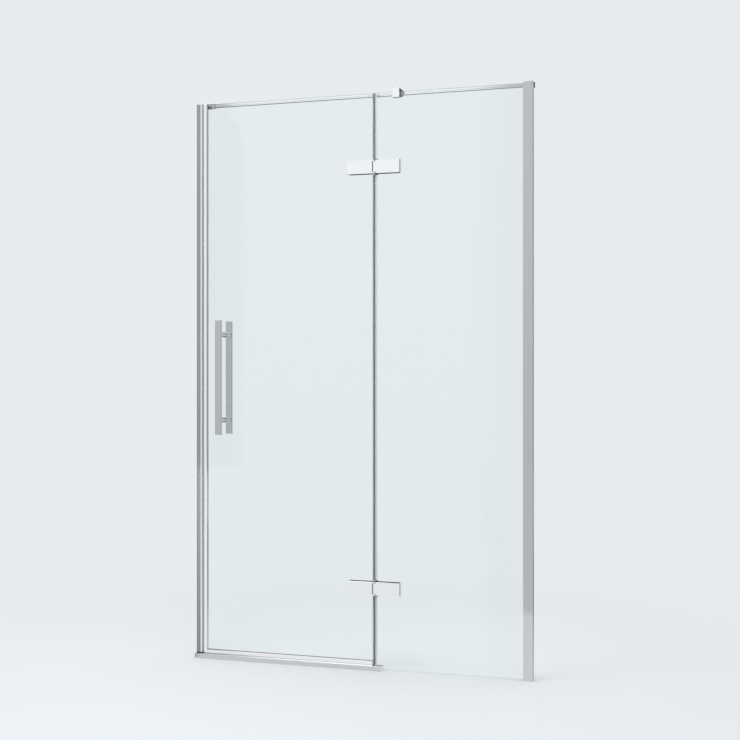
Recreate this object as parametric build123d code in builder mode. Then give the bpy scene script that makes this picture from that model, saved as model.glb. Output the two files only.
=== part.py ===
"""Shower door: a hinged glass leaf on the left, a fixed glass panel on the right, a post at each
side, a low threshold, and a stabiliser bar from side to side behind the glass.

X runs along the opening from left to right as seen from outside, Y goes inward and Z is up. The
origin is at the foot of the opening, midway between its sides, in the middle plane of the glass.
All sizes are in millimetres.
"""
import os

from build123d import *

os.makedirs("parts", exist_ok=True)

# Driving sizes of the enclosure
opening_w = 1195.0
leaf_side_w = 651.5
glass_top = 1950.0
glass_t = 8.0
glass_arris = 0.6
hinge_gap = 6.0

# Clearances, and the overrun of every cut
overrun = 2.0
bond_gap = 0.3
run_gap = 0.05
bar_gap = 0.1
seal_fit = 0.15
plug_gap = 0.3

# Fixing channels, screwed on at the sides of the opening and hidden in the posts
channel_w = 13.0
channel_t = 1.6
channel_gap = 0.3
wall_hole_r = 2.6
wall_hole_bottom = 85.0
wall_hole_below_top = 65.0
wall_hole_spans = 3

# Posts, clipped over the channels
post_half = 11.0
post_t = 1.5
post_wall_gap = 0.5
post_cap_t = 1.5
post_plug_l = 6.0
post_plug_w = 8.0
strike_post_w = 20.4
strike_post_r = 1.2
strike_shoulder_w = 5.3
strike_shoulder_mid = 0.12
strike_shoulder_drop = 0.46
strike_post_over_glass = 1.5
strike_foot_t = 3.0
fixed_post_w = 32.8
fixed_post_r = 1.0
fixed_post_over_glass = 5.0
fixed_web_at = 17.0

# Screws through a post's inner leg into its channel
post_screw_r = 1.75
post_screw_in = 8.0
post_screw_reach = 5.0
post_screw_from_hole = 50.0
post_screw_head_r = 3.5
post_screw_head_t = 1.8
post_screw_slot_w = 1.0
post_screw_slot_d = 0.8

# T-slot and seal foot, shared by the strike post and the leaf's rails
slot_mouth_w = 5.0
slot_mouth_d = 1.0
slot_w = 8.0
slot_d = 1.8
slot_wall = 1.2
seal_head_w = 8.0
seal_head_r = 0.4

# Rails on the leaf's strike edge and bottom edge
strike_gap = 6.4
rail_w = 12.0
rail_crown = 7.2
rail_mid = 6.9
rail_tip = 6.1
rail_edge_r = 0.8
rail_bottom = 17.4
rail_cap_t = 1.5
magnet_gap = 1.0
door_magnet_t = 3.0
sweep_head_w = 14.0
sweep_head_r = 0.3
sweep_gap = 0.3

# Threshold, a hollow extrusion at the foot of the doorway
threshold_h = 16.4
threshold_front = 26.0
threshold_back = 16.0
threshold_flat_back = 11.5
threshold_back_h = 5.0
threshold_edge_r = 1.6
threshold_t = 1.6
threshold_past_gap = 34.2
threshold_cap_t = 3.0
threshold_plug_l = 6.0
threshold_glass_gap = 1.3
threshold_edge_gap = 0.5

# Fixed panel: depth of its edge in the post, its gaskets and the strip that it stands on
panel_in_post = 12.2
gasket_depth = 11.0
gasket_land = 2.5
gasket_taper = 1.4
base_strip_t = 3.0
base_strip_r = 0.8

# Seal clipped on the fixed panel's edge, beside the leaf
seal_leg = 9.0
seal_t = 1.0
seal_web_gap = 0.2
seal_bulb_r = 2.0
seal_bulb_bore_r = 1.3
seal_bulb_sink = 0.3
seal_end_gap = 0.5

# Hinges
hinge_from_top = 250.0
hinge_from_floor = 275.0
hinge_pin_offset = 4.5
hinge_plate_w = 90.0
hinge_plate_h = 45.0
hinge_plate_t = 10.0
hinge_plate_edge = 0.4
hinge_plate_gap = 1.5
hinge_lip_w = 3.0
hinge_clamp_t = 6.0
hinge_clamp_inset = 1.0
hinge_clamp_short = 5.0
hinge_gasket_t = 2.0
hinge_gasket_inset = 1.0
hinge_tongue_w = 10.0
hinge_tongue_l = 3.5
hinge_pin_r = 2.5
hinge_ear_h = 4.5
hinge_ear_gap = 0.3
hinge_bush_r = 3.6
hinge_bush_l = 9.0
hinge_bush_flange_r = 4.4
hinge_bush_flange_t = 1.0
hinge_screw_r = 3.0
hinge_screw_hole_r = 3.2
screw_head_angle = 90.0
hinge_screw_head_r = 5.5
hinge_screw_spacing = 50.0
hinge_screw_in = 7.0
hinge_screw_hex_r = 2.2
hinge_screw_hex_d = 2.0
hinge_glass_hole_r = 7.0
sleeve_gap = 0.2

# Handle: a flat bar on each face of the leaf, joined back to back through the glass
handle_l = 400.0
handle_w = 24.0
handle_t = 8.0
handle_edge = 1.0
handle_mid_z = 987.0
handle_mid_y = 48.0
handle_from_edge = 69.0
handle_spacing = 300.0
standoff_r = 9.5
standoff_edge = 0.5
spigot_r = 5.0
spigot_l = 5.0
handle_washer_t = 1.0
handle_stud_r = 4.0
handle_stud_in = 14.0
handle_stud_hole_r = 4.2
handle_glass_hole_r = 6.0
handle_grub_r = 2.0
handle_grub_hex_r = 1.0
handle_grub_sink = 0.5

# Stabiliser bar, its end sockets and its clamp on the fixed panel
bar_s = 12.0
bar_t = 1.5
bar_edge = 0.5
bar_y = 22.0
bar_below_glass_top = 2.0
bar_end_gap = 1.0
socket_s = 18.0
socket_edge = 0.8
socket_base = 5.0
socket_hole_r = 2.6
socket_screw_head_r = 4.8
socket_left_l = 46.5
socket_right_l = 30.0
socket_grub_in = 10.0
collar_s = 16.0
collar_l = 13.5
clamp_from_edge = 79.0
clamp_w = 25.0
clamp_front_wall = 14.0
clamp_back_wall = 2.9
clamp_jaw_drop = 21.0
clamp_under_bar = 4.0
clamp_over_bar = 6.4
clamp_edge = 0.6
clamp_roof_gap = 0.5
clamp_pad_t = 1.0
clamp_pad_inset = 1.0
clamp_screw_r = 3.0
clamp_screw_x = -5.0
clamp_screw_up = 3.3
clamp_screw_hex_r = 1.7
bar_grub_r = 2.5
bar_grub_x = 6.0
bar_grub_hex_r = 1.4
grub_hex_d = 2.0
grub_sink = 0.5

# Places that follow from the sizes above
left_wall = -opening_w / 2
right_wall = opening_w / 2
gap_x = left_wall + leaf_side_w
glass_half = glass_t / 2
pocket_half = glass_half + bond_gap
channel_half = post_half - post_t - channel_gap
strike_face = left_wall + strike_post_w
strike_bottom = threshold_h + strike_foot_t
strike_post_top = glass_top + strike_post_over_glass
fixed_post_top = glass_top + fixed_post_over_glass
wall_hole_spacing = (glass_top - wall_hole_below_top - wall_hole_bottom) / wall_hole_spans
slot_slab = slot_mouth_d + slot_d + slot_wall
rail_left = strike_face + strike_gap
leaf_left = rail_left + slot_slab + bond_gap
leaf_right = gap_x - hinge_gap / 2
leaf_bottom = rail_bottom + slot_slab + bond_gap
fixed_face = right_wall - fixed_post_w
panel_left = gap_x + hinge_gap / 2
panel_right = fixed_face + panel_in_post
panel_bottom = base_strip_t
hinge_heights = {"lower": hinge_from_floor, "upper": glass_top - hinge_from_top}
pin_x = gap_x + hinge_pin_offset
plate_back = glass_half + hinge_gasket_t
knuckle_r = hinge_plate_t / 2
pin_y = -plate_back - knuckle_r
knuckle_half = hinge_plate_h / 2 - hinge_ear_h - hinge_ear_gap - hinge_bush_flange_t
clamp_plate_back = plate_back + hinge_clamp_t
door_plate_right = pin_x - knuckle_r - hinge_plate_gap
door_plate_left = door_plate_right - hinge_plate_w
panel_plate_right = pin_x + hinge_plate_w
clamps_left = door_plate_left + hinge_clamp_short
clamps_right = panel_plate_right - hinge_clamp_short
handle_x = leaf_left + handle_from_edge


def keep(builder, name):
    """Label a finished piece and write it to a STEP file of its own."""
    builder.part.label = name
    export_step(builder.part, f"parts/{name}.step")


def either_side(middle, spacing):
    """Two places, half the spacing either side of the middle."""
    return [middle - spacing / 2, middle + spacing / 2]


# Channels and posts


def wall_hole_heights():
    """Heights of the fixing holes, evenly spaced up the channel."""
    return [wall_hole_bottom + row * wall_hole_spacing for row in range(wall_hole_spans + 1)]


def post_screw_heights():
    """Heights of the post's screws: near its ends and halfway between them."""
    bottom = wall_hole_heights()[0] + post_screw_from_hole
    top = wall_hole_heights()[-1] - post_screw_from_hole
    return [bottom, (bottom + top) / 2, top]


def wall_channel(wall_x, inward, bottom, top, name):
    """U-channel with its web outermost and its two legs pointing inward."""
    far_x = wall_x + inward * channel_w
    web_x = wall_x + inward * channel_t
    screw_x = wall_x + inward * post_screw_in
    inner_half = channel_half - channel_t
    with BuildPart() as channel:
        with BuildSketch(Plane.XY.offset(bottom)):
            with BuildLine():
                Polyline(
                    (wall_x, -channel_half),
                    (far_x, -channel_half),
                    (far_x, -inner_half),
                    (web_x, -inner_half),
                    (web_x, inner_half),
                    (far_x, inner_half),
                    (far_x, channel_half),
                    (wall_x, channel_half),
                    close=True,
                )
            make_face()
        extrude(amount=top - bottom)
        with BuildSketch(Plane.YZ.offset(wall_x)):
            with Locations(*[(0, height) for height in wall_hole_heights()]):
                Circle(wall_hole_r)
        extrude(amount=inward * channel_t, mode=Mode.SUBTRACT)
        with BuildSketch(Plane.XZ.offset(-channel_half)):
            with Locations(*[(screw_x, height) for height in post_screw_heights()]):
                Circle(post_screw_r)
        extrude(amount=channel_t, mode=Mode.SUBTRACT)
    keep(channel, name)


def post_screws(wall_x, inward, name):
    """Three pan head screws through the post's inner leg into the channel."""
    screw_x = wall_x + inward * post_screw_in
    places = [(screw_x, height) for height in post_screw_heights()]
    with BuildPart() as screws:
        with BuildSketch(Plane.XZ.offset(-post_half)):
            with Locations(*places):
                Circle(post_screw_head_r)
        extrude(amount=-post_screw_head_t)
        chamfer(screws.edges().group_by(Axis.Y)[-1], post_screw_head_t / 2)
        with BuildSketch(Plane.XZ.offset(-post_half)):
            with Locations(*places):
                Circle(post_screw_r)
        extrude(amount=post_screw_reach)
        with BuildSketch(Plane.XZ.offset(-post_half - post_screw_head_t)):
            with Locations(*places):
                Rectangle(2 * post_screw_head_r, post_screw_slot_w)
        extrude(amount=post_screw_slot_d, mode=Mode.SUBTRACT)
    keep(screws, name)


def t_slot():
    """Section of the T-slot: its mouth is on the local Y axis and it is cut towards local +X."""
    with BuildSketch(mode=Mode.PRIVATE) as slot:
        with Locations((slot_mouth_d / 2 - overrun / 2, 0)):
            Rectangle(slot_mouth_d + overrun, slot_mouth_w)
        with Locations((slot_mouth_d + slot_d / 2, 0)):
            Rectangle(slot_d, slot_w)
    return slot.sketch


def strip_seal(head_t, head_w, head_r):
    """Section of a push-in seal: a foot in the T-slot, and a head of the given size outside."""
    with BuildSketch(mode=Mode.PRIVATE) as seal:
        with Locations((slot_mouth_d + slot_d / 2, 0)):
            Rectangle(slot_d - 2 * seal_fit, slot_w - 2 * seal_fit)
        with Locations((slot_mouth_d / 2 + seal_fit / 2, 0)):
            Rectangle(slot_mouth_d + seal_fit, slot_mouth_w - 2 * seal_fit)
        with Locations((-head_t / 2, 0)):
            RectangleRounded(head_t, head_w, head_r)
    return seal.sketch


def strike_outline():
    """Plan of the strike post: flat sides that curve in slightly towards the leaf."""
    left = left_wall + post_wall_gap
    curve_start = strike_face - strike_shoulder_w
    curve_mid = strike_face - strike_shoulder_w / 2
    mid_half = post_half - strike_shoulder_mid
    end_half = post_half - strike_shoulder_drop
    with BuildSketch(mode=Mode.PRIVATE) as outline:
        with BuildLine():
            Line((left, -post_half), (curve_start, -post_half))
            ThreePointArc((curve_start, -post_half), (curve_mid, -mid_half), (strike_face, -end_half))
            Line((strike_face, -end_half), (strike_face, end_half))
            ThreePointArc((strike_face, end_half), (curve_mid, mid_half), (curve_start, post_half))
            Polyline((curve_start, post_half), (left, post_half), (left, -post_half))
        make_face()
        fillet(outline.vertices().group_by(Axis.X)[-1], strike_post_r)
    return outline.sketch


def fixed_outline():
    """Plan of the fixed panel's post, with small corner radii at the mouth for the glass."""
    right = right_wall - post_wall_gap
    with BuildSketch(mode=Mode.PRIVATE) as outline:
        with Locations(((fixed_face + right) / 2, 0)):
            Rectangle(right - fixed_face, 2 * post_half)
        fillet(outline.vertices().group_by(Axis.X)[0], fixed_post_r)
    return outline.sketch


def post_cap(outline, wall_x, inward, plate_z, plug_down, plate_t, name):
    """End cap of a post: a plate of its outline and a plug that fits inside its legs."""
    plug_mid_x = wall_x + inward * (post_wall_gap + post_plug_w / 2)
    plug_side = -1 if plug_down else 1
    plug_z = plate_z if plug_down else plate_z + plate_t
    with BuildPart() as cap:
        with BuildSketch(Plane.XY.offset(plate_z)):
            add(outline)
        extrude(amount=plate_t)
        with BuildSketch(Plane.XY.offset(plug_z)):
            with Locations((plug_mid_x, 0)):
                Rectangle(post_plug_w, 2 * (post_half - post_t - plug_gap))
        extrude(amount=plug_side * post_plug_l)
    keep(cap, name)


strike_cavity_right = strike_face - slot_slab
strike_post_len = strike_post_top - post_cap_t - strike_bottom
with BuildPart() as strike_post:
    with BuildSketch(Plane.XY.offset(strike_bottom)):
        add(strike_outline())
        with Locations(((left_wall + strike_cavity_right) / 2, 0)):
            Rectangle(strike_cavity_right - left_wall, 2 * (post_half - post_t), mode=Mode.SUBTRACT)
        with Locations(Location((strike_face, 0, 0), (0, 0, 180))):
            add(t_slot(), mode=Mode.SUBTRACT)
    extrude(amount=strike_post_len)
    with BuildSketch(Plane.XZ.offset(-post_half)):
        with Locations(*[(left_wall + post_screw_in, height) for height in post_screw_heights()]):
            Circle(post_screw_r)
    extrude(amount=post_t, mode=Mode.SUBTRACT)
keep(strike_post, "strike_post")

strike_cap_z = strike_post_top - post_cap_t
post_cap(strike_outline(), left_wall, 1, strike_cap_z, True, post_cap_t, "strike_post_cap")
post_cap(strike_outline(), left_wall, 1, threshold_h, False, strike_foot_t, "strike_post_foot")
wall_channel(
    left_wall,
    1,
    strike_bottom + post_plug_l + plug_gap,
    strike_cap_z - post_plug_l - plug_gap,
    "strike_wall_channel",
)
post_screws(left_wall, 1, "strike_post_screws")

strike_magnet_t = strike_gap - door_magnet_t - magnet_gap
with BuildPart() as strike_magnet:
    with BuildSketch(Plane.XY.offset(strike_bottom)):
        with Locations(Location((strike_face, 0, 0), (0, 0, 180))):
            add(strip_seal(strike_magnet_t, seal_head_w, seal_head_r))
    extrude(amount=strike_post_len)
keep(strike_magnet, "strike_magnet_strip")

web_left = right_wall - fixed_web_at - post_t
web_right = right_wall - fixed_web_at
fixed_cap_z = fixed_post_top - post_cap_t
with BuildPart() as fixed_post:
    with BuildSketch():
        add(fixed_outline())
        with Locations(((fixed_face - overrun + web_left) / 2, 0)):
            Rectangle(web_left - fixed_face + overrun, 2 * (post_half - post_t), mode=Mode.SUBTRACT)
        with Locations(((web_right + right_wall) / 2, 0)):
            Rectangle(right_wall - web_right, 2 * (post_half - post_t), mode=Mode.SUBTRACT)
    extrude(amount=fixed_cap_z)
    with BuildSketch(Plane.XZ.offset(-post_half)):
        with Locations(*[(right_wall - post_screw_in, height) for height in post_screw_heights()]):
            Circle(post_screw_r)
    extrude(amount=post_t, mode=Mode.SUBTRACT)
keep(fixed_post, "fixed_post")

post_cap(fixed_outline(), right_wall, -1, fixed_cap_z, True, post_cap_t, "fixed_post_cap")
wall_channel(right_wall, -1, 0, fixed_cap_z - post_plug_l - plug_gap, "fixed_wall_channel")
post_screws(right_wall, -1, "fixed_post_screws")

# Threshold


def threshold_section(inset):
    """Section across the threshold: a flat top that falls away behind, inset for its hollow."""
    foot = inset
    top = threshold_h - inset
    front = -threshold_front + inset
    back = threshold_back - inset
    with BuildSketch(mode=Mode.PRIVATE) as section:
        with BuildLine():
            Polyline(
                (front, foot),
                (front, top),
                (threshold_flat_back - inset / 2, top),
                (back, threshold_back_h - inset / 2),
                (back, foot),
                close=True,
            )
        make_face()
        if inset == 0:
            fillet(section.vertices().group_by(Axis.X)[0].sort_by(Axis.Y)[-1], threshold_edge_r)
    return section.sketch


threshold_end = gap_x + threshold_past_gap - threshold_cap_t
notch_left = panel_left - threshold_edge_gap
notch_front = -glass_half - threshold_glass_gap
with BuildPart() as threshold:
    with BuildSketch(Plane.YZ.offset(left_wall)):
        add(threshold_section(0))
        add(threshold_section(threshold_t), mode=Mode.SUBTRACT)
    extrude(amount=threshold_end - left_wall)
    with BuildSketch():
        with Locations((notch_left, notch_front)):
            Rectangle(
                threshold_end - notch_left + overrun,
                threshold_back - notch_front + overrun,
                align=(Align.MIN, Align.MIN),
            )
    extrude(amount=threshold_h + overrun, mode=Mode.SUBTRACT)
keep(threshold, "threshold")

with BuildPart() as threshold_cap:
    with BuildSketch(Plane.YZ.offset(threshold_end)):
        add(threshold_section(0))
        with Locations((notch_front, 0)):
            Rectangle(
                threshold_back - notch_front + overrun,
                threshold_h + overrun,
                align=(Align.MIN, Align.MIN),
                mode=Mode.SUBTRACT,
            )
    extrude(amount=threshold_cap_t)
    with BuildSketch(Plane.YZ.offset(threshold_end)):
        with Locations((-threshold_front + threshold_t + plug_gap, threshold_t + plug_gap)):
            Rectangle(
                threshold_front - threshold_t - plug_gap + notch_front,
                threshold_h - 2 * threshold_t - 2 * plug_gap,
                align=(Align.MIN, Align.MIN),
            )
    extrude(amount=-threshold_plug_l)
keep(threshold_cap, "threshold_end_cap")

# Glass


def pane(left, right, bottom, holes, name):
    """Toughened pane with ground edges; holes is a list of (x, z, radius)."""
    with BuildPart() as glass:
        with BuildSketch(Plane.XZ.offset(-glass_half)):
            with Locations(((left + right) / 2, (bottom + glass_top) / 2)):
                Rectangle(right - left, glass_top - bottom)
        extrude(amount=glass_t)
        outline = glass.faces().sort_by(Axis.Y)
        chamfer(outline[0].edges() + outline[-1].edges(), glass_arris)
        with BuildSketch(Plane.XZ.offset(-glass_half)):
            for hole_x, hole_z, hole_r in holes:
                with Locations((hole_x, hole_z)):
                    Circle(hole_r)
        extrude(amount=glass_t, mode=Mode.SUBTRACT)
    keep(glass, name)


door_screw_xs = either_side((door_plate_left + door_plate_right) / 2, hinge_screw_spacing)
panel_screw_xs = either_side((pin_x + panel_plate_right) / 2, hinge_screw_spacing)
door_screw_places = [(x, z) for z in hinge_heights.values() for x in door_screw_xs]
panel_screw_places = [(x, z) for z in hinge_heights.values() for x in panel_screw_xs]
handle_places = [(handle_x, z) for z in either_side(handle_mid_z, handle_spacing)]

door_holes = [(x, z, hinge_glass_hole_r) for x, z in door_screw_places]
door_holes += [(x, z, handle_glass_hole_r) for x, z in handle_places]
panel_holes = [(x, z, hinge_glass_hole_r) for x, z in panel_screw_places]
pane(leaf_left, leaf_right, leaf_bottom, door_holes, "door_glass")
pane(panel_left, panel_right, panel_bottom, panel_holes, "fixed_glass")

# Fixed panel's gaskets, base strip and hinge side seal

for side, name in ((-1, "fixed_gasket_front"), (1, "fixed_gasket_rear")):
    leg_y = side * (post_half - post_t)
    glass_y = side * glass_half
    nose_y = glass_y + side * gasket_taper
    with BuildPart() as gasket:
        with BuildSketch(Plane.XY.offset(panel_bottom)):
            with BuildLine():
                Polyline(
                    (fixed_face, leg_y),
                    (fixed_face, nose_y),
                    (fixed_face + gasket_land / 2, glass_y),
                    (fixed_face + gasket_land, glass_y),
                    (fixed_face + gasket_depth, nose_y),
                    (fixed_face + gasket_depth, leg_y),
                    close=True,
                )
            make_face()
        extrude(amount=fixed_cap_z - panel_bottom)
    keep(gasket, name)

with BuildPart() as base_strip:
    with BuildSketch(Plane.YZ.offset(panel_left)):
        with Locations((0, base_strip_t / 2)):
            RectangleRounded(glass_t, base_strip_t, base_strip_r)
    extrude(amount=panel_right - panel_left)
keep(base_strip, "base_strip")

seal_web_right = panel_left - seal_web_gap
seal_web_left = seal_web_right - seal_t
tongue_end = hinge_plate_h / 2 + hinge_tongue_l
seal_stop = tongue_end + seal_end_gap
seal_runs = {
    "lower": (threshold_h + seal_end_gap, hinge_heights["lower"] - seal_stop),
    "middle": (hinge_heights["lower"] + seal_stop, hinge_heights["upper"] - seal_stop),
    "upper": (hinge_heights["upper"] + seal_stop, glass_top),
}
for run, (seal_bottom, seal_top) in seal_runs.items():
    with BuildPart() as seal:
        with BuildSketch(Plane.XY.offset(seal_bottom)):
            with Locations((seal_web_left - seal_bulb_r + seal_bulb_sink, 0)):
                Circle(seal_bulb_r)
                Circle(seal_bulb_bore_r, mode=Mode.SUBTRACT)
            with Locations((seal_web_left, 0)):
                Rectangle(
                    panel_left + seal_leg - seal_web_left,
                    2 * (glass_half + seal_t),
                    align=(Align.MIN, Align.CENTER),
                )
            with Locations((seal_web_right, 0)):
                Rectangle(
                    seal_leg + overrun,
                    2 * glass_half,
                    align=(Align.MIN, Align.CENTER),
                    mode=Mode.SUBTRACT,
                )
        extrude(amount=seal_top - seal_bottom)
    keep(seal, f"hinge_side_seal_{run}")

# Rails and seals of the leaf


def rail_section(with_pocket):
    """Section of a rail: outer face on the local Y axis, sides that curve in to the glass."""
    with BuildSketch(mode=Mode.PRIVATE) as section:
        with BuildLine():
            ThreePointArc((0, -rail_crown), (rail_w / 2, -rail_mid), (rail_w, -rail_tip))
            Line((rail_w, -rail_tip), (rail_w, rail_tip))
            ThreePointArc((rail_w, rail_tip), (rail_w / 2, rail_mid), (0, rail_crown))
            Line((0, rail_crown), (0, -rail_crown))
        make_face()
        fillet(section.vertices().group_by(Axis.X)[0], rail_edge_r)
        if with_pocket:
            with Locations((slot_slab, 0)):
                Rectangle(
                    rail_w - slot_slab + overrun,
                    2 * pocket_half,
                    align=(Align.MIN, Align.CENTER),
                    mode=Mode.SUBTRACT,
                )
    return section.sketch


mitre = Plane(origin=(rail_left, 0, rail_bottom), z_dir=(-1, 0, 1))

with BuildPart() as edge_rail:
    with BuildSketch(Plane.XY.offset(rail_bottom)):
        with Locations((rail_left, 0)):
            add(rail_section(True))
            add(t_slot(), mode=Mode.SUBTRACT)
    extrude(amount=glass_top - rail_bottom)
    split(bisect_by=mitre, keep=Keep.TOP)
keep(edge_rail, "door_edge_rail")

with BuildPart() as bottom_rail:
    with BuildSketch(Plane.YZ.offset(rail_left)):
        with Locations(Location((0, rail_bottom, 0), (0, 0, 90))):
            add(rail_section(True))
            add(t_slot(), mode=Mode.SUBTRACT)
    extrude(amount=leaf_right - rail_cap_t - rail_left)
    split(bisect_by=mitre, keep=Keep.BOTTOM)
keep(bottom_rail, "door_bottom_rail")

with BuildPart() as rail_top_cap:
    with BuildSketch(Plane.XY.offset(glass_top)):
        with Locations((rail_left, 0)):
            add(rail_section(False))
    extrude(amount=rail_cap_t)
keep(rail_top_cap, "door_rail_top_cap")

with BuildPart() as rail_end_cap:
    with BuildSketch(Plane.YZ.offset(leaf_right - rail_cap_t)):
        with Locations(Location((0, rail_bottom, 0), (0, 0, 90))):
            add(rail_section(True))
    extrude(amount=rail_cap_t)
keep(rail_end_cap, "door_rail_end_cap")

with BuildPart() as door_magnet:
    with BuildSketch(Plane.XY.offset(rail_bottom + slot_slab)):
        with Locations((rail_left, 0)):
            add(strip_seal(door_magnet_t, seal_head_w, seal_head_r))
    extrude(amount=glass_top - rail_bottom - slot_slab)
keep(door_magnet, "door_magnet_strip")

sweep_head_t = rail_bottom - threshold_h - sweep_gap
with BuildPart() as sweep:
    with BuildSketch(Plane.YZ.offset(rail_left + slot_slab)):
        with Locations(Location((0, rail_bottom, 0), (0, 0, 90))):
            add(strip_seal(sweep_head_t, sweep_head_w, sweep_head_r))
    extrude(amount=leaf_right - rail_cap_t - rail_left - slot_slab)
keep(sweep, "door_sweep_seal")

# Hinges. The door plate's ears hold a pin, which turns in nylon bushes in the panel plate's knuckle.
# A square lip on the front of the knuckle narrows the gap that shows between the plates. The clamp
# plates behind the glass are a little shorter than the front ones, which hide their ends


def eased_edges(part, outer_x):
    """Front edges of a plate that stand free: its outer end and its top and bottom."""
    front = part.edges().group_by(Axis.Y)[0]
    upright_edges = front.filter_by(Axis.Z)
    outer_edge = upright_edges.sort_by(lambda edge: abs(edge.center().X - outer_x))[:1]
    return outer_edge + front.filter_by(Axis.X)


for level, height in hinge_heights.items():
    ear_ends = [(height - hinge_plate_h / 2, 1), (height + hinge_plate_h / 2, -1)]

    with BuildPart() as door_plate:
        with BuildSketch(Plane.XZ.offset(plate_back)):
            with Locations(((door_plate_left + door_plate_right) / 2, height)):
                Rectangle(hinge_plate_w, hinge_plate_h)
        extrude(amount=hinge_plate_t)
        chamfer(eased_edges(door_plate, door_plate_left), hinge_plate_edge)
        for end_z, inward in ear_ends:
            with BuildSketch(Plane.XY.offset(end_z)):
                with Locations(((door_plate_right + pin_x) / 2, pin_y)):
                    Rectangle(pin_x - door_plate_right, hinge_plate_t)
                with Locations((pin_x, pin_y)):
                    Circle(knuckle_r)
            extrude(amount=inward * hinge_ear_h)
        with BuildSketch(Plane.XY.offset(height - hinge_plate_h / 2)):
            with Locations((pin_x, pin_y)):
                Circle(hinge_pin_r)
        extrude(amount=hinge_plate_h, mode=Mode.SUBTRACT)
        with BuildSketch(Plane.XZ.offset(plate_back)):
            with Locations(*[(x, height) for x in door_screw_xs]):
                Circle(hinge_screw_r)
        extrude(amount=hinge_screw_in, mode=Mode.SUBTRACT)
    keep(door_plate, f"{level}_hinge_door_plate")

    with BuildPart() as panel_plate:
        with BuildSketch(Plane.XZ.offset(plate_back)):
            with Locations(((pin_x + panel_plate_right) / 2, height)):
                Rectangle(hinge_plate_w, hinge_plate_h)
        extrude(amount=hinge_plate_t)
        chamfer(eased_edges(panel_plate, panel_plate_right), hinge_plate_edge)
        with BuildSketch(Plane.XY.offset(height - hinge_plate_h / 2)):
            with Locations((pin_x, pin_y)):
                Circle(knuckle_r)
            with Locations((pin_x - hinge_lip_w / 2, pin_y - knuckle_r / 2)):
                Rectangle(hinge_lip_w, knuckle_r)
        extrude(amount=hinge_plate_h)
        for end_z, inward in ear_ends:
            with BuildSketch(Plane.XY.offset(end_z)):
                with Locations((pin_x + hinge_ear_gap / 2, pin_y)):
                    Rectangle(2 * knuckle_r + hinge_ear_gap, hinge_plate_t)
            extrude(amount=inward * (hinge_plate_h / 2 - knuckle_half), mode=Mode.SUBTRACT)
        with BuildSketch(Plane.XY.offset(height - knuckle_half)):
            with Locations((pin_x, pin_y)):
                Circle(hinge_bush_r)
        extrude(amount=2 * knuckle_half, mode=Mode.SUBTRACT)
        with BuildSketch(Plane.XZ.offset(plate_back)):
            with Locations(*[(x, height) for x in panel_screw_xs]):
                Circle(hinge_screw_r)
        extrude(amount=hinge_screw_in, mode=Mode.SUBTRACT)
    keep(panel_plate, f"{level}_hinge_panel_plate")

    clamp_plates = (
        ("door", clamps_left, leaf_right - hinge_clamp_inset, door_screw_xs),
        ("panel", panel_left + hinge_clamp_inset, clamps_right, panel_screw_xs),
    )
    for carrier, left, right, screw_xs in clamp_plates:
        with BuildPart() as clamp_plate:
            with BuildSketch(Plane.XZ.offset(-plate_back)):
                with Locations(((left + right) / 2, height)):
                    Rectangle(right - left, hinge_plate_h)
            extrude(amount=-hinge_clamp_t)
            chamfer(clamp_plate.faces().sort_by(Axis.Y)[-1].edges(), hinge_plate_edge)
            for screw_x in screw_xs:
                with Locations(Plane((screw_x, clamp_plate_back, height), (1, 0, 0), (0, 1, 0))):
                    CounterSinkHole(
                        hinge_screw_hole_r,
                        hinge_screw_head_r,
                        counter_sink_angle=screw_head_angle,
                    )
        keep(clamp_plate, f"{level}_hinge_{carrier}_clamp")

with BuildPart() as pins:
    for height in hinge_heights.values():
        with BuildSketch(Plane.XY.offset(height - hinge_plate_h / 2)):
            with Locations((pin_x, pin_y)):
                Circle(hinge_pin_r)
        extrude(amount=hinge_plate_h)
keep(pins, "hinge_pins")

with BuildPart() as bushes:
    for height in hinge_heights.values():
        for end in (-1, 1):
            face_z = height + end * knuckle_half
            with BuildSketch(Plane.XY.offset(face_z)):
                with Locations((pin_x, pin_y)):
                    Circle(hinge_bush_flange_r)
                    Circle(hinge_pin_r + run_gap, mode=Mode.SUBTRACT)
            extrude(amount=end * hinge_bush_flange_t)
            with BuildSketch(Plane.XY.offset(face_z)):
                with Locations((pin_x, pin_y)):
                    Circle(hinge_bush_r)
                    Circle(hinge_pin_r + run_gap, mode=Mode.SUBTRACT)
            extrude(amount=-end * hinge_bush_l)
keep(bushes, "hinge_bushes")

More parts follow.
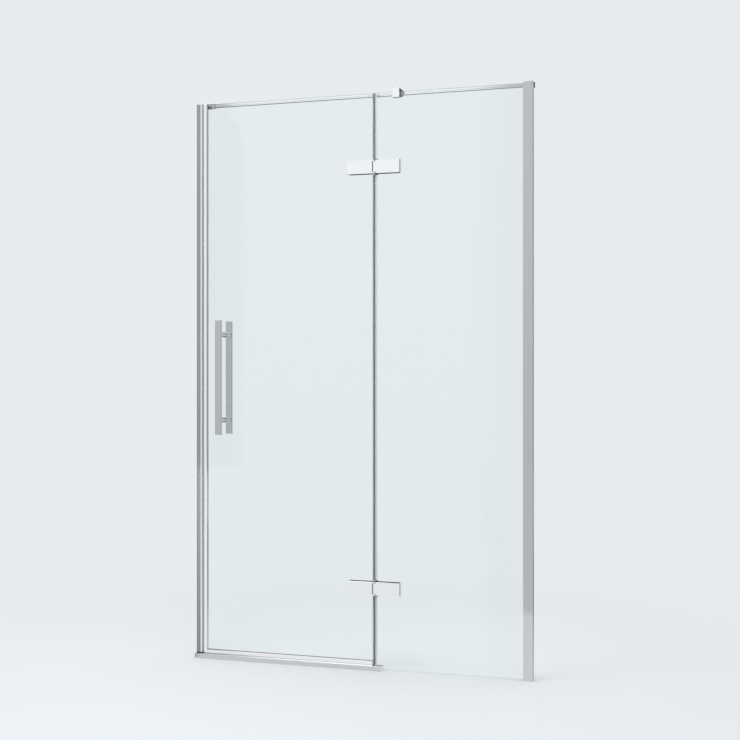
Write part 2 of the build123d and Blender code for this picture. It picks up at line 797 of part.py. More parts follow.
# The panel's gaskets have a tongue above and below, which stops the side seals
gasket_spans = (
    ("door", clamps_left + hinge_gasket_inset, leaf_right - hinge_gasket_inset, door_screw_places),
    ("panel", pin_x, clamps_right - hinge_gasket_inset, panel_screw_places),
)
for carrier, left, right, screw_places in gasket_spans:
    with BuildPart() as gaskets:
        for start in (glass_half, -plate_back):
            with BuildSketch(Plane.XZ.offset(start)):
                for height in hinge_heights.values():
                    with Locations(((left + right) / 2, height)):
                        Rectangle(right - left, hinge_plate_h - 2 * hinge_gasket_inset)
                    if carrier == "panel":
                        with Locations((left + hinge_tongue_w / 2, height)):
                            Rectangle(hinge_tongue_w, 2 * tongue_end)
                with Locations(*screw_places):
                    Circle(hinge_screw_hole_r, mode=Mode.SUBTRACT)
            extrude(amount=hinge_gasket_t)
    keep(gaskets, f"{carrier}_hinge_gaskets")

    with BuildPart() as screws:
        with BuildSketch(Plane.XZ.offset(-clamp_plate_back)):
            with Locations(*screw_places):
                Circle(hinge_screw_head_r)
        extrude(amount=hinge_screw_head_r - hinge_screw_r, taper=screw_head_angle / 2)
        with BuildSketch(Plane.XZ.offset(-clamp_plate_back)):
            with Locations(*screw_places):
                Circle(hinge_screw_r)
        extrude(amount=clamp_plate_back + plate_back + hinge_screw_in)
        with BuildSketch(Plane.XZ.offset(-clamp_plate_back)):
            with Locations(*screw_places):
                RegularPolygon(hinge_screw_hex_r, 6)
        extrude(amount=hinge_screw_hex_d, mode=Mode.SUBTRACT)
    keep(screws, f"{carrier}_hinge_screws")

door_sleeves = [
    (door_screw_places, hinge_glass_hole_r, hinge_screw_hole_r),
    (handle_places, handle_glass_hole_r, handle_stud_hole_r),
]
panel_sleeves = [(panel_screw_places, hinge_glass_hole_r, hinge_screw_hole_r)]
for carrier, sleeve_groups in (("door", door_sleeves), ("panel", panel_sleeves)):
    with BuildPart() as sleeves:
        for places, hole_r, bore_r in sleeve_groups:
            with BuildSketch(Plane.XZ.offset(-glass_half)):
                with Locations(*places):
                    Circle(hole_r - sleeve_gap)
                    Circle(bore_r, mode=Mode.SUBTRACT)
            extrude(amount=glass_t)
    keep(sleeves, f"{carrier}_glass_sleeves")

# Handle

washer_y = glass_half + handle_washer_t
bar_back_y = handle_mid_y - handle_t / 2
for side, name in ((-1, "outer"), (1, "inner")):
    with BuildPart() as handle_bar:
        with BuildSketch(Plane.XY.offset(handle_mid_z - handle_l / 2)):
            with Locations((handle_x, side * handle_mid_y)):
                Rectangle(handle_w, handle_t)
        extrude(amount=handle_l)
        chamfer(handle_bar.edges(), handle_edge)
        with BuildSketch(Plane.XZ.offset(-side * bar_back_y)):
            with Locations(*handle_places):
                Circle(spigot_r)
        extrude(amount=-side * spigot_l, mode=Mode.SUBTRACT)
    keep(handle_bar, f"handle_bar_{name}")

    with BuildPart() as standoffs:
        with BuildSketch(Plane.XZ.offset(-side * washer_y)):
            with Locations(*handle_places):
                Circle(standoff_r)
        extrude(amount=-side * (bar_back_y - washer_y))
        chamfer(standoffs.edges(), standoff_edge)
        with BuildSketch(Plane.XZ.offset(-side * bar_back_y)):
            with Locations(*handle_places):
                Circle(spigot_r)
        extrude(amount=-side * spigot_l)
        with BuildSketch(Plane.XZ.offset(-side * washer_y)):
            with Locations(*handle_places):
                Circle(handle_stud_r)
        extrude(amount=-side * handle_stud_in, mode=Mode.SUBTRACT)
        if side > 0:
            grub_y = washer_y + handle_stud_in / 2
            for handle_end in handle_places:
                with BuildSketch(Plane.XY.offset(handle_end[1])):
                    with Locations((handle_x, grub_y)):
                        Circle(handle_grub_r)
                extrude(amount=-standoff_r, mode=Mode.SUBTRACT)
    keep(standoffs, f"handle_standoffs_{name}")

with BuildPart() as washers:
    for start in (glass_half, -washer_y):
        with BuildSketch(Plane.XZ.offset(start)):
            with Locations(*handle_places):
                Circle(standoff_r)
                Circle(handle_stud_hole_r, mode=Mode.SUBTRACT)
        extrude(amount=handle_washer_t)
keep(washers, "handle_washers")

with BuildPart() as studs:
    with BuildSketch(Plane.XZ.offset(-washer_y - handle_stud_in)):
        with Locations(*handle_places):
            Circle(handle_stud_r)
    extrude(amount=2 * (washer_y + handle_stud_in))
keep(studs, "handle_studs")

with BuildPart() as handle_grubs:
    for handle_end in handle_places:
        with BuildSketch(Plane.XY.offset(handle_end[1] - handle_stud_r)):
            with Locations((handle_x, washer_y + handle_stud_in / 2)):
                Circle(handle_grub_r)
        extrude(amount=-(standoff_r - handle_stud_r - handle_grub_sink))
        with BuildSketch(Plane.XY.offset(handle_end[1] - standoff_r)):
            with Locations((handle_x, washer_y + handle_stud_in / 2)):
                RegularPolygon(handle_grub_hex_r, 6)
        extrude(amount=grub_hex_d, mode=Mode.SUBTRACT)
keep(handle_grubs, "handle_grub_screws")

# Stabiliser bar

bar_left = left_wall + socket_base + bar_end_gap
bar_right = right_wall - socket_base - bar_end_gap
bar_bore = bar_s + 2 * bar_gap
bar_z = glass_top - bar_below_glass_top
with BuildPart() as bar:
    with BuildSketch(Plane.YZ.offset(bar_left)):
        with Locations((bar_y, bar_z)):
            RectangleRounded(bar_s, bar_s, bar_edge)
            Rectangle(bar_s - 2 * bar_t, bar_s - 2 * bar_t, mode=Mode.SUBTRACT)
    extrude(amount=bar_right - bar_left)
keep(bar, "stabiliser_bar")

sockets = (
    ("left", left_wall, 1, socket_left_l),
    ("right", right_wall, -1, socket_right_l),
)
for name, wall_x, inward, socket_l in sockets:
    with BuildPart() as socket:
        with BuildSketch(Plane.YZ.offset(wall_x)):
            with Locations((bar_y, bar_z)):
                RectangleRounded(socket_s, socket_s, socket_edge)
        extrude(amount=inward * socket_l)
        with BuildSketch(Plane.YZ.offset(wall_x + inward * socket_base)):
            with Locations((bar_y, bar_z)):
                Rectangle(bar_bore, bar_bore)
        extrude(amount=inward * socket_l, mode=Mode.SUBTRACT)
        with BuildSketch(Plane.YZ.offset(wall_x)):
            with Locations((bar_y, bar_z)):
                Circle(socket_hole_r)
        extrude(amount=inward * socket_base, mode=Mode.SUBTRACT)
        with BuildSketch(Plane.YZ.offset(wall_x + inward * socket_base)):
            with Locations((bar_y, bar_z)):
                Circle(socket_screw_head_r)
        extrude(
            amount=-inward * (socket_screw_head_r - socket_hole_r),
            taper=screw_head_angle / 2,
            mode=Mode.SUBTRACT,
        )
        with BuildSketch(Plane.XY.offset(bar_z - socket_s / 2)):
            with Locations((wall_x + inward * (socket_l - socket_grub_in), bar_y)):
                Circle(bar_grub_r)
        extrude(amount=(socket_s - bar_bore) / 2, mode=Mode.SUBTRACT)
    keep(socket, f"bar_socket_{name}")

with BuildPart() as collar:
    with BuildSketch(Plane.YZ.offset(left_wall + socket_left_l)):
        with Locations((bar_y, bar_z)):
            RectangleRounded(collar_s, collar_s, socket_edge)
            Rectangle(bar_bore, bar_bore, mode=Mode.SUBTRACT)
    extrude(amount=collar_l)
keep(collar, "bar_collar")

# The clamp's front jaw reaches lower than its rear one. Its screw is set through the empty bore
clamp_mid_x = panel_left + clamp_from_edge
clamp_left = clamp_mid_x - clamp_w / 2
jaw_y = glass_half + clamp_pad_t
clamp_front = jaw_y + clamp_front_wall
clamp_bore_front = bar_y - bar_bore / 2
clamp_back = bar_y + bar_bore / 2 + clamp_back_wall
front_jaw_bottom = glass_top - clamp_jaw_drop
rear_jaw_bottom = bar_z - bar_bore / 2 - clamp_under_bar
clamp_top = bar_z + bar_bore / 2 + clamp_over_bar
clamp_screw_at = (clamp_mid_x + clamp_screw_x, bar_z - bar_bore / 2 + clamp_screw_up)
with BuildPart() as clamp:
    with BuildSketch(Plane.YZ.offset(clamp_left)):
        with BuildLine():
            Polyline(
                (-clamp_front, clamp_top),
                (-clamp_front, front_jaw_bottom),
                (0, front_jaw_bottom),
                (0, rear_jaw_bottom),
                (clamp_back, rear_jaw_bottom),
                (clamp_back, clamp_top),
                close=True,
            )
        make_face()
    extrude(amount=clamp_w)
    chamfer(clamp.edges(), clamp_edge)
    with BuildSketch(Plane.YZ.offset(clamp_left)):
        with Locations((0, front_jaw_bottom - overrun)):
            Rectangle(
                2 * jaw_y,
                glass_top + clamp_roof_gap - front_jaw_bottom + overrun,
                align=(Align.CENTER, Align.MIN),
            )
        with Locations((bar_y, bar_z)):
            Rectangle(bar_bore, bar_bore)
    extrude(amount=clamp_w, mode=Mode.SUBTRACT)
    with BuildSketch(Plane.XZ.offset(-clamp_bore_front)):
        with Locations(clamp_screw_at):
            Circle(clamp_screw_r)
    extrude(amount=clamp_bore_front - jaw_y, mode=Mode.SUBTRACT)
    with BuildSketch(Plane.XY.offset(rear_jaw_bottom)):
        with Locations((clamp_mid_x + bar_grub_x, bar_y)):
            Circle(bar_grub_r)
    extrude(amount=bar_z - bar_s / 2 - rear_jaw_bottom, mode=Mode.SUBTRACT)
keep(clamp, "bar_clamp")

with BuildPart() as pads:
    for start, jaw_bottom in ((glass_half, front_jaw_bottom), (-jaw_y, rear_jaw_bottom)):
        with BuildSketch(Plane.XZ.offset(start)):
            with Locations((clamp_mid_x, jaw_bottom + clamp_pad_inset)):
                Rectangle(
                    clamp_w - 2 * clamp_pad_inset,
                    glass_top - jaw_bottom - 2 * clamp_pad_inset,
                    align=(Align.CENTER, Align.MIN),
                )
        extrude(amount=clamp_pad_t)
keep(pads, "bar_clamp_pads")

with BuildPart() as clamp_screw:
    with BuildSketch(Plane.XZ.offset(-jaw_y)):
        with Locations(clamp_screw_at):
            Circle(clamp_screw_r)
    extrude(amount=-(clamp_bore_front - jaw_y - grub_sink))
    with BuildSketch(Plane.XZ.offset(-clamp_bore_front)):
        with Locations(clamp_screw_at):
            RegularPolygon(clamp_screw_hex_r, 6)
    extrude(amount=grub_hex_d, mode=Mode.SUBTRACT)
keep(clamp_screw, "bar_clamp_screw")

bar_under = bar_z - bar_s / 2
grub_spots = (
    (left_wall + socket_left_l - socket_grub_in, bar_z - socket_s / 2),
    (right_wall - socket_right_l + socket_grub_in, bar_z - socket_s / 2),
    (clamp_mid_x + bar_grub_x, rear_jaw_bottom),
)
with BuildPart() as bar_grubs:
    for grub_x, outer_z in grub_spots:
        with BuildSketch(Plane.XY.offset(bar_under)):
            with Locations((grub_x, bar_y)):
                Circle(bar_grub_r)
        extrude(amount=outer_z + grub_sink - bar_under)
        with BuildSketch(Plane.XY.offset(outer_z)):
            with Locations((grub_x, bar_y)):
                RegularPolygon(bar_grub_hex_r, 6)
        extrude(amount=grub_hex_d, mode=Mode.SUBTRACT)
keep(bar_grubs, "bar_grub_screws")
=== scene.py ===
"""Looks of the shower door: finishes for every piece, then the floor, the light and the camera."""

import math

import bpy
import numpy as np
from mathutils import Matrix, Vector


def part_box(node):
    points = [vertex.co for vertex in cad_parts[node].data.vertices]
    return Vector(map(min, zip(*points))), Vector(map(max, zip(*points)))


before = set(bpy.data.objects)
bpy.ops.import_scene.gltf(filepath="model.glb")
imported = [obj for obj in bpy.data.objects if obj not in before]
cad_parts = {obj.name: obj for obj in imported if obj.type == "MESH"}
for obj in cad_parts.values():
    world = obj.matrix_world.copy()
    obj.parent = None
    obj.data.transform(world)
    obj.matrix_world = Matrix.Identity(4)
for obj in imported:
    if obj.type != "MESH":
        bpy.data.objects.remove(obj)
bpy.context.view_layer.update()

# Fixing channels, one at either side of the opening: plain extruded aluminium with its die
# lines along the length, screwed on and hidden in the posts. Nothing polishes it, so it is dull.


class Value:
    """A number that a shader works out. Sums on it add Math nodes."""

    def __init__(self, shader, socket):
        self.shader = shader
        self.socket = socket

    def worked(self, operation, first, second=None):
        inputs = {0: first} if second is None else {0: first, 1: second}
        return self.shader.value("ShaderNodeMath", {"operation": operation}, inputs)

    def __add__(self, other):
        return self.worked("ADD", self, other)

    def __sub__(self, other):
        return self.worked("SUBTRACT", self, other)

    def __rsub__(self, other):
        return self.worked("SUBTRACT", other, self)

    def __mul__(self, other):
        return self.worked("MULTIPLY", self, other)

    def __abs__(self):
        return self.worked("ABSOLUTE", self)

    __radd__ = __add__
    __rmul__ = __mul__

    def step(self, low, high):
        """0 below low and 1 above high, with a smooth rise between them."""
        return self.shader.value(
            "ShaderNodeMapRange",
            {"interpolation_type": "SMOOTHSTEP"},
            {"Value": self, "From Min": low, "From Max": high},
        )

    def between(self, rise, fall):
        """1 from the end of the rise to the start of the fall, and 0 outside both."""
        return self.step(*rise) * (1 - self.step(*fall))


class Shader:
    """The nodes of one material or of the world."""

    def __init__(self, tree):
        self.tree = tree

    def node(self, kind, settings, sockets):
        """A node with its settings made first, then its sockets given a number or a link."""
        made = self.tree.nodes.new(kind)
        for name, setting in settings.items():
            setattr(made, name, setting)
        for name, given in sockets.items():
            if isinstance(given, Value):
                self.tree.links.new(given.socket, made.inputs[name])
            else:
                made.inputs[name].default_value = given
        return made

    def value(self, kind, settings, sockets, output=0):
        """The same, for a node that one number, colour or vector is wanted from."""
        return Value(self, self.node(kind, settings, sockets).outputs[output])

    def feed(self, node, **sockets):
        for name, given in sockets.items():
            self.tree.links.new(given.socket, node.inputs[name.replace("_", " ")])


def finish(name, colour, metallic, roughness, **constants):
    """A material with these plain values, and its shader and Principled node to add to."""
    material = bpy.data.materials.new(name)
    material.use_nodes = True
    surface = material.node_tree.nodes["Principled BSDF"]
    surface.inputs["Base Color"].default_value = (*colour, 1)
    surface.inputs["Metallic"].default_value = metallic
    surface.inputs["Roughness"].default_value = roughness
    for socket, value in constants.items():
        surface.inputs[socket.replace("_", " ")].default_value = value
    return material, Shader(material.node_tree), surface


def grain(shader, per_metre, stretch=(1, 1, 1), detail=3):
    """Noise from 0 to 1 on the piece's own coordinates, with so many grains to the metre."""
    place = shader.value("ShaderNodeTexCoord", {}, {}, "Object")
    drawn = shader.value("ShaderNodeMapping", {}, {"Vector": place, "Scale": stretch})
    return shader.value(
        "ShaderNodeTexNoise",
        {},
        {"Vector": drawn, "Scale": per_metre, "Detail": detail},
    )


def relief(shader, surface, height, depth):
    """Bumps of the given depth in metres."""
    bump = shader.value(
        "ShaderNodeBump",
        {},
        {"Height": height, "Strength": 1.0, "Distance": depth},
        "Normal",
    )
    shader.feed(surface, Normal=bump)


def shaded(shader, surface, mask, dark, light):
    """Base colour that goes from dark to light with the mask."""
    colour = shader.value(
        "ShaderNodeMix",
        {"data_type": "RGBA"},
        {0: mask, 6: (*dark, 1), 7: (*light, 1)},
        2,
    )
    shader.feed(surface, Base_Color=colour)


die_lines_per_metre = 1400
die_line_depth = 0.000004
drawn_out = 0.004  # how fast the lines change along the extrusion, for 1 across it


def extrusion(name, colour, roughness, along):
    """Extruded metal: fine lines along the die's direction in its colour, gloss and surface."""
    clouds_per_metre, line_shade = 6, 0.94
    least, from_lines, from_clouds = 0.55 * roughness, 0.5 * roughness, 0.4 * roughness
    material, shader, surface = finish(name, colour, 1.0, roughness)
    stretch = tuple(drawn_out if axis == along else 1.0 for axis in "XYZ")
    lines = grain(shader, die_lines_per_metre, stretch)
    clouds = grain(shader, clouds_per_metre)
    shaded(shader, surface, lines, tuple(line_shade * c for c in colour), colour)
    shader.feed(surface, Roughness=lines * from_lines + clouds * from_clouds + least)
    relief(shader, surface, lines, die_line_depth)
    return material


def dress(material, *nodes):
    """Gives CAD nodes a finish."""
    for name in nodes:
        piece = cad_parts[name]
        piece.data.materials.clear()
        piece.data.materials.append(material)


mill_metal = extrusion("mill_aluminium", (0.66, 0.66, 0.67), 0.42, "Z")
dress(mill_metal, "strike_wall_channel", "fixed_wall_channel")

# Posts: extruded aluminium, polished and bright anodised, so that they look like chrome from
# across the room and show faint upright lines close to. They clip over the fixing channels.

bright_upright = extrusion("bright_aluminium_upright", (0.86, 0.87, 0.88), 0.055, "Z")
dress(bright_upright, "strike_post", "fixed_post")

# Caps of the posts, rails and threshold: moulded plastic with a silver gloss, pushed into the
# open ends of the extrusions. The moulding leaves a very slight orange peel.


def grained(
    name,
    colour,
    metallic,
    roughness,
    per_metre,
    gloss,
    depth,
    tones=None,
    stretch=(1, 1, 1),
    **constants,
):
    """A finish with one grain in it, which carries its roughness from the first value of gloss to
    the second, its surface to the depth, and its colour from the first tone to the second."""
    material, shader, surface = finish(name, colour, metallic, roughness, **constants)
    mask = grain(shader, per_metre, stretch)
    least, most = gloss
    shader.feed(surface, Roughness=mask * (most - least) + least)
    if tones:
        shaded(shader, surface, mask, *tones)
    relief(shader, surface, mask, depth)
    return material


cap_silver = grained(
    "silver_cap_plastic",
    (0.72, 0.73, 0.74),
    metallic=0.75,
    roughness=0.24,
    per_metre=700,
    gloss=(0.2, 0.3),
    depth=0.00001,
    Coat_Weight=0.3,
)
dress(
    cap_silver,
    "strike_post_cap",
    "fixed_post_cap",
    "threshold_end_cap",
    "door_rail_top_cap",
    "door_rail_end_cap",
)

# Foot of the strike post: a black nylon block on the threshold, with a satin moulded skin.
# It keeps the post's cut end out of the water.

foot_plastic = grained(
    "black_foot_plastic",
    (0.025, 0.025, 0.027),
    metallic=0.0,
    roughness=0.45,
    per_metre=1800,
    gloss=(0.35, 0.55),
    depth=0.00002,
)
dress(foot_plastic, "strike_post_foot")

# Screws, pins and studs: turned stainless steel. Fine rings from the lathe and the driver's
# rubbing make their gloss uneven.

stainless = grained(
    "turned_stainless",
    (0.62, 0.62, 0.61),
    metallic=1.0,
    roughness=0.28,
    per_metre=2600,
    gloss=(0.2, 0.4),
    depth=0.00001,
    tones=((0.52, 0.52, 0.51), (0.7, 0.7, 0.69)),
)
dress(
    stainless,
    "strike_post_screws",
    "fixed_post_screws",
    "door_hinge_screws",
    "panel_hinge_screws",
    "hinge_pins",
    "handle_studs",
    "handle_grub_screws",
    "bar_clamp_screw",
    "bar_grub_screws",
)

# Threshold: a hollow extrusion across the foot of the doorway, with its die lines from side to
# side. Its front is satin; its top is smoother and painted much lighter, a painted highlight.

satin, bright = 0.24, 0.07
least_facing_up, full_facing_up = 0.6, 0.95
share_of_lines, roughness_of_lines = 0.15, 0.02
threshold_metal, shader, surface = finish(
    "satin_aluminium_threshold", (0.6, 0.61, 0.62), 1.0, satin
)
lines = grain(shader, die_lines_per_metre, (drawn_out, 1, 1))
normal = shader.value("ShaderNodeTexCoord", {}, {}, "Normal")
upward = shader.value("ShaderNodeSeparateXYZ", {}, {"Vector": normal}, 2)
# Faces that look up are smoother and painted lighter: a painted highlight on the top.
top_highlight_and_gloss = upward.step(least_facing_up, full_facing_up)
painted_top_highlight = top_highlight_and_gloss * (1 - share_of_lines) + lines * share_of_lines
shaded(shader, surface, painted_top_highlight, (0.58, 0.59, 0.6), (0.93, 0.935, 0.94))
dulled = (1 - top_highlight_and_gloss) * (satin - bright) + lines * roughness_of_lines + bright
shader.feed(surface, Roughness=dulled)
relief(shader, surface, lines, die_line_depth)
dress(threshold_metal, "threshold")

# Rails of the leaf: the same bright extrusion as the posts, bonded on the strike edge and the
# bottom edge of the glass and mitred where they meet.

rail_colour, rail_roughness = (0.9, 0.905, 0.91), 0.07
bright_level = extrusion("bright_aluminium_level", rail_colour, rail_roughness, "X")
bright_edge = extrusion("bright_aluminium_edge", rail_colour, rail_roughness, "Z")
dress(bright_level, "door_bottom_rail")
dress(bright_edge, "door_edge_rail")

# Magnet strips: grey vinyl extruded round a magnet, pushed into the T-slots of the post and
# of the edge rail. Their faces are satin and faintly wavy.

magnet_vinyl = grained(
    "grey_magnet_vinyl",
    (0.5, 0.51, 0.51),
    metallic=0.0,
    roughness=0.38,
    per_metre=300,
    gloss=(0.3, 0.45),
    depth=0.00003,
    tones=((0.56, 0.57, 0.57), (0.66, 0.67, 0.67)),
    stretch=(1, 1, 0.08),
)
dress(magnet_vinyl, "strike_magnet_strip", "door_magnet_strip")

# Glass: two panes of 8 mm clear toughened glass. The faces carry the furnace's very long, low
# ripple. The edges are ground, so they are greener and not as clear.

clear_colour, ground_colour = (0.96, 0.985, 0.978), (0.66, 0.82, 0.77)
least_ground, spread_ground = 0.2, 0.15
grinds_per_metre, ripples_per_metre = 2200, 5
ripple_depth = 0.00004
glass, shader, surface = finish(
    "clear_toughened_glass",
    clear_colour,
    0.0,
    0.0,
    Transmission_Weight=1.0,
    IOR=1.5,
)
pane_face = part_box("fixed_glass")[1][1]
edge_ends, face_starts = 0.97 * pane_face, 0.99 * pane_face
place = shader.value("ShaderNodeTexCoord", {}, {}, "Object")
depth = abs(shader.value("ShaderNodeSeparateXYZ", {}, {"Vector": place}, 1))
edge = 1 - depth.step(edge_ends, face_starts)
shaded(shader, surface, edge, clear_colour, ground_colour)
grind = grain(shader, grinds_per_metre)
shader.feed(surface, Roughness=edge * (grind * spread_ground + least_ground))
relief(shader, surface, grain(shader, ripples_per_metre, (1, 1, 0.4), 1), ripple_depth)
panes = ("door_glass", "fixed_glass")
dress(glass, *panes)
for name in panes:
    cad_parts[name].visible_shadow = False

# Strips: soft vinyl extrusions. The thin one that the fixed pane stands on is clear, and the
# one in the bottom rail that wipes the threshold is milky and as wide as the rail.


def vinyl(name, colour, alpha, stretch):
    """Soft clear vinyl with the faint waves of its extrusion along it."""
    return grained(
        name,
        colour,
        metallic=0.0,
        roughness=0.12,
        per_metre=500,
        gloss=(0.05, 0.2),
        depth=0.00003,
        stretch=stretch,
        Alpha=alpha,
    )


drawn_level = (0.05, 1, 1)
clear_strip = vinyl("clear_strip_vinyl", (0.92, 0.94, 0.935), 0.2, drawn_level)
dress(clear_strip, "base_strip")
milky_strip = vinyl("milky_sweep_vinyl", (0.9, 0.92, 0.92), 0.85, drawn_level)
dress(milky_strip, "door_sweep_seal")

# Side seals: the same vinyl, clipped on the fixed pane beside the leaf in three lengths. The
# legs on the glass are clear. The bulb and web in the gap are painted dark and nearly opaque,
# painted shade of the gap between the panes, so they read as a line.

bulb_start_mm, web_end_mm = (53.3, 54.1), (58.2, 59.4)
legs_alpha, gap_alpha = 0.26, 0.89
side_vinyl = vinyl("clear_side_vinyl", (0.9, 0.92, 0.915), 0.3, (1, 1, 0.05))
shader = Shader(side_vinyl.node_tree)
surface = side_vinyl.node_tree.nodes["Principled BSDF"]
place = shader.value("ShaderNodeTexCoord", {}, {}, "Object")
across = shader.value("ShaderNodeSeparateXYZ", {}, {"Vector": place}, 0)
# The band across the gap is painted dark and nearly opaque: painted shade of the gap.
gap_shade_band = (across * 1000).between(bulb_start_mm, web_end_mm)
shaded(shader, surface, 1 - gap_shade_band, (0.13, 0.14, 0.14), (0.7, 0.73, 0.725))
shader.feed(surface, Alpha=gap_shade_band * (gap_alpha - legs_alpha) + legs_alpha)
dress(side_vinyl, "hinge_side_seal_lower", "hinge_side_seal_middle", "hinge_side_seal_upper")

# Black rubber: the wedges that hold the fixed pane in its post, and the die-cut pads that
# keep metal off glass. Matt, with a fine grain.

rubber = grained(
    "black_rubber",
    (0.03, 0.03, 0.031),
    metallic=0.0,
    roughness=0.7,
    per_metre=1500,
    gloss=(0.55, 0.8),
    depth=0.00004,
    tones=((0.022, 0.022, 0.023), (0.05, 0.05, 0.051)),
)
dress(
    rubber,
    "fixed_gasket_front",
    "fixed_gasket_rear",
    "door_hinge_gaskets",
    "panel_hinge_gaskets",
    "bar_clamp_pads",
)

# Washers of the handle: thin rubber like the rest, but grey and let through some light, so that
# hardly a line shows where the handle's fixings meet the glass.

pale_rubber = grained(
    "pale_washer_rubber",
    (0.5, 0.51, 0.51),
    metallic=0.0,
    roughness=0.5,
    per_metre=1500,
    gloss=(0.4, 0.6),
    depth=0.00002,
    tones=((0.44, 0.45, 0.45), (0.56, 0.57, 0.57)),
    Alpha=0.45,
)
dress(pale_rubber, "handle_washers")

# Nylon: bushes that the hinge pins turn in, and sleeves in the glass that the screws go
# through. Natural white, with a slightly waxy surface.

nylon = grained(
    "white_nylon",
    (0.8, 0.79, 0.75),
    metallic=0.0,
    roughness=0.4,
    per_metre=900,
    gloss=(0.3, 0.5),
    depth=0.00001,
)
dress(nylon, "hinge_bushes", "door_glass_sleeves", "panel_glass_sleeves")

# Hinges, handle and stabiliser bar: brass, polished and chrome plated. The plate is almost a
# mirror; the polishing wheel leaves a barely uneven gloss.

least, from_haze, from_scuffs = 0.025, 0.03, 0.025
hazes_per_metre, scuffs_per_metre = 45, 900
scuff_depth = 0.0000015
chrome, shader, surface = finish("polished_chrome", (0.86, 0.87, 0.885), 1.0, 0.05)
haze = grain(shader, hazes_per_metre)
scuffs = grain(shader, scuffs_per_metre)
shader.feed(surface, Roughness=haze * from_haze + scuffs * from_scuffs + least)
shaded(shader, surface, haze, (0.84, 0.85, 0.865), (0.88, 0.89, 0.905))
relief(shader, surface, scuffs, scuff_depth)
dress(
    chrome,
    "lower_hinge_door_plate",
    "lower_hinge_panel_plate",
    "lower_hinge_door_clamp",
    "lower_hinge_panel_clamp",
    "upper_hinge_door_plate",
    "upper_hinge_panel_plate",
    "upper_hinge_door_clamp",
    "upper_hinge_panel_clamp",
    "handle_bar_outer",
    "handle_bar_inner",
    "handle_standoffs_outer",
    "handle_standoffs_inner",
    "stabiliser_bar",
    "bar_socket_left",
    "bar_socket_right",
    "bar_clamp",
)

# Collar of the stabiliser bar: a brass sleeve with a satin chrome finish, slid on the bar beside
# its left socket, where it covers the play between them.

satin_chrome = grained(
    "satin_chrome",
    (0.5, 0.5, 0.51),
    metallic=1.0,
    roughness=0.26,
    per_metre=2200,
    gloss=(0.2, 0.32),
    depth=0.000004,
    tones=((0.46, 0.465, 0.47), (0.56, 0.565, 0.57)),
)
dress(satin_chrome, "bar_collar")

# Floor: a plain pale surface under the part, made as a disc. Towards its rim it takes the
# backdrop's own colour, so that no horizon shows. To rays that metal or glass mirrors it glows
# instead with a painted grey, a painted reflection.


def reflected(shader):
    """1 on a ray that metal or glass has mirrored, also where it went through glass after that."""
    ray = shader.node("ShaderNodeLightPath", {}, {})
    glossy, bounces, through = (
        Value(shader, ray.outputs[name])
        for name in ("Is Glossy Ray", "Glossy Depth", "Is Transmission Ray")
    )
    return glossy.worked("MAXIMUM", glossy, through) * bounces.worked("MINIMUM", bounces, 1)


def tinted(shader, tone):
    """A grey of this tone, a little cool like the backdrop."""
    return shader.value("ShaderNodeCombineColor", {}, {0: tone, 1: tone * 1.01, 2: tone * 1.02})


backdrop = (0.8, 0.835, 0.86)
floor_r, fade_from_r, fade_to_r = 9.0, 0.9, 2.2
radii = np.array([1.0, 2.0, 4.0, floor_r])
spokes = 96
turn = np.linspace(0, 2 * math.pi, spokes, endpoint=False)
radius, angle = np.meshgrid(radii, turn, indexing="ij")
rings = np.stack([radius * np.cos(angle), radius * np.sin(angle), 0 * radius], axis=-1)
points = np.concatenate([[(0.0, 0.0, 0.0)], rings.reshape(-1, 3)])
here = 1 + np.arange(len(radii))[:, None] * spokes + np.arange(spokes)
after = np.roll(here, -1, axis=1)
fan = np.stack([np.zeros(spokes, int), here[0], after[0]], axis=-1)
quads = np.stack([here[:-1], here[1:], after[1:], after[:-1]], axis=-1).reshape(-1, 4)
mesh = bpy.data.meshes.new("floor")
mesh.from_pydata(points.tolist(), [], fan.tolist() + quads.tolist())
floor = bpy.data.objects.new("floor", mesh)
bpy.context.scene.collection.objects.link(floor)

# In the metal the floor glows with a painted grey, a painted reflection, but for three painted
# dark patches: two in front of the part, each with a slanting edge, and one behind it in two bands.
# The right-hand one is fainter close to the part. Distances are metres from the part's middle.
left_slant, left_edge, left_front = 0.462, (-0.577, -0.567), (0.02, 0.1)
right_slant, right_edge, right_front = 0.22, (0.4, 0.52), (1.08, 1.2)
near_band, lit_again, far_band = (0.4, 1.2), (3.2, 4.2), (6.5, 7.5)
painted_glow_tone, left_dip, right_dip, inside_share = 0.9, 0.6, 0.37, 0.8
right_share_far = 0.4

paint, shader, surface = finish("pale_floor", (0.86, 0.885, 0.905), 0.0, 0.6)
place = shader.value("ShaderNodeTexCoord", {}, {}, "Object")
away = shader.value("ShaderNodeVectorMath", {"operation": "LENGTH"}, {0: place}, "Value")
spot = shader.node("ShaderNodeSeparateXYZ", {}, {"Vector": place})
to_right, inward = (Value(shader, spot.outputs[i]) for i in range(2))
to_front = 0 - inward
# Painted dark patches in the floor as metal and glass mirror it.
painted_dark_left = (1 - (to_right - inward * left_slant).step(*left_edge)) * to_front.step(*left_front)
painted_dark_right = (to_right - inward * right_slant).step(*right_edge)
painted_dark_right = painted_dark_right * (to_front.step(*right_front) * right_share_far + (1 - right_share_far))
painted_dark_inside = inward.step(*near_band) * (1 - inward.between(lit_again, far_band))
painted_reflection_tone = painted_glow_tone - painted_dark_left * left_dip - painted_dark_right * right_dip
grey = tinted(shader, painted_reflection_tone * (1 - painted_dark_inside * inside_share))
flat = shader.value("ShaderNodeEmission", {}, {"Color": (*backdrop, 1), "Strength": 1.0})
lit = Value(shader, surface.outputs["BSDF"])
faded = away.step(fade_from_r, fade_to_r)
plain = shader.value("ShaderNodeMixShader", {}, {0: faded, 1: lit, 2: flat})
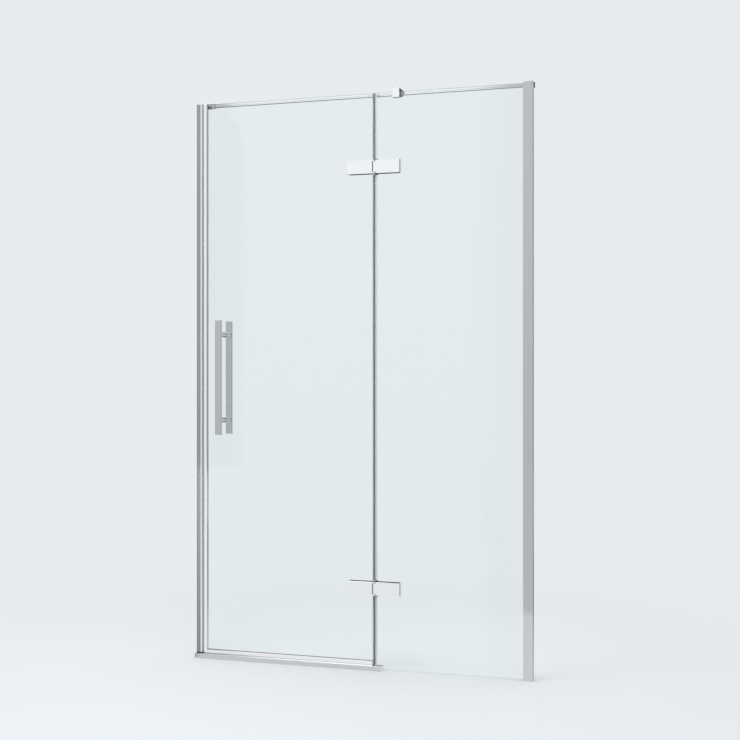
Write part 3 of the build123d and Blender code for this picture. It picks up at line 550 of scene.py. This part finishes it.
# The floor as metal and glass mirror it: a glowing grey, a painted reflection.
painted_floor_reflection = shader.value("ShaderNodeEmission", {}, {"Color": grey, "Strength": 1.0})
shown = shader.value("ShaderNodeMixShader", {}, {0: reflected(shader), 1: plain, 2: painted_floor_reflection})
shader.feed(shader.tree.nodes["Material Output"], Surface=shown)
mesh.materials.append(paint)

# Light: a pale room. Seen in polished metal it has one tall white window to the left of the
# part, grey sides and a bright ceiling, and one soft lamp overhead gives the floor its shadow.


def slope(bearing, low, high):
    """0 below the low bearing and 1 above the high one, both given in degrees."""
    return bearing.step(math.radians(low), math.radians(high))


def sector(bearing, rise, fall):
    """1 between two slopes, 0 outside them."""
    return slope(bearing, *rise) * (1 - slope(bearing, *fall))


world = bpy.data.worlds.new("room")
bpy.context.scene.world = world
world.use_nodes = True
world.node_tree.nodes.clear()
room = Shader(world.node_tree)
towards = room.value("ShaderNodeTexCoord", {}, {}, "Generated")
split = room.node("ShaderNodeSeparateXYZ", {}, {"Vector": towards})
east, north, up = (Value(room, split.outputs[i]) for i in range(3))

# Bearings are 0 straight out in front of the part and grow to its left, and up is the sine of
# a ray's angle above the level. The window is a little wider in its upper part.
upper_part, wider_by = (0.19, 0.2), math.radians(0.5)
bearing = room.value("ShaderNodeMath", {"operation": "ARCTAN2"}, {0: 0 - east, 1: 0 - north})
to_the_right = 0 - bearing
either_way = abs(bearing)
wider = up.step(*upper_part) * wider_by
window = slope(bearing, 10, 13) * (1 - slope(bearing - wider, 22.8, 23.4))
beyond = sector(bearing, (24.3, 24.9), (50, 70))
right = sector(to_the_right, (15, 50), (110, 140))
inside = sector(either_way, (148, 153), (173, 176)) * (1 - up.step(0.23, 0.3))
lintel = slope(either_way, 148, 153) * up.between((0.32, 0.35), (0.41, 0.44))
cupboard = sector(to_the_right, (12, 15), (27, 30))
doorway = sector(to_the_right, (150, 153), (157, 160))
behind = slope(either_way, 105, 125) * (1 - inside)
ceiling = up.step(0.5, 0.8)

side_tone, ceiling_tone, lighter_upwards = 0.53, 0.95, 0.5
tone = side_tone
for patch, change in (
    (window, 0.4),
    (beyond, -0.22),
    (right, -0.3),
    (behind, 0.27),
    (inside, -0.41),
    (doorway, 0.5),
    (cupboard, -0.2),
    (lintel, -0.6),
):
    tone = tone + patch * change
tone = tone * (up * lighter_upwards + 1) * (1 - ceiling) + ceiling * ceiling_tone
ray = room.node("ShaderNodeLightPath", {}, {})
seen, through = (Value(room, ray.outputs[name]) for name in ("Is Camera Ray", "Is Transmission Ray"))
soft = room.value(
    "ShaderNodeBackground", {}, {"Color": (0.97, 0.985, 1.0, 1), "Strength": 0.82}
)
plain = room.value("ShaderNodeBackground", {}, {"Color": (*backdrop, 1), "Strength": 1.0})
shining = room.value("ShaderNodeBackground", {}, {"Color": tinted(room, tone), "Strength": 1.0})
in_view = seen.worked("MAXIMUM", seen, through)
first = room.value("ShaderNodeMixShader", {}, {0: in_view, 1: soft, 2: plain})
second = room.value("ShaderNodeMixShader", {}, {0: reflected(room), 1: first, 2: shining})
room.node("ShaderNodeOutputWorld", {}, {"Surface": second})

lamp = bpy.data.lights.new("overhead", "AREA")
lamp.shape = "RECTANGLE"
lamp.size, lamp.size_y = 2.4, 1.8
lamp.energy = 33
lamp_target = Vector((0, 0, 0.8))
overhead = bpy.data.objects.new("overhead", lamp)
overhead.location = (-0.6, -1.6, 3.4)
overhead.rotation_euler = (lamp_target - overhead.location).to_track_quat("-Z", "Y").to_euler()
bpy.context.scene.collection.objects.link(overhead)

# Camera: at the photograph's place, a little above the middle of the leaf and to the right,
# level, so that upright edges stay upright.

turned_left = math.radians(17.1815)
lens = bpy.data.cameras.new("camera")
lens.lens, lens.sensor_width = 60.70, 36.0
camera = bpy.data.objects.new("camera", lens)
camera.location = (1.2896, -4.0415, 1.0135)
camera.rotation_euler = (math.pi / 2, 0, turned_left)
bpy.context.scene.collection.objects.link(camera)
bpy.context.scene.camera = camera
bpy.context.scene.view_settings.view_transform = "Standard"
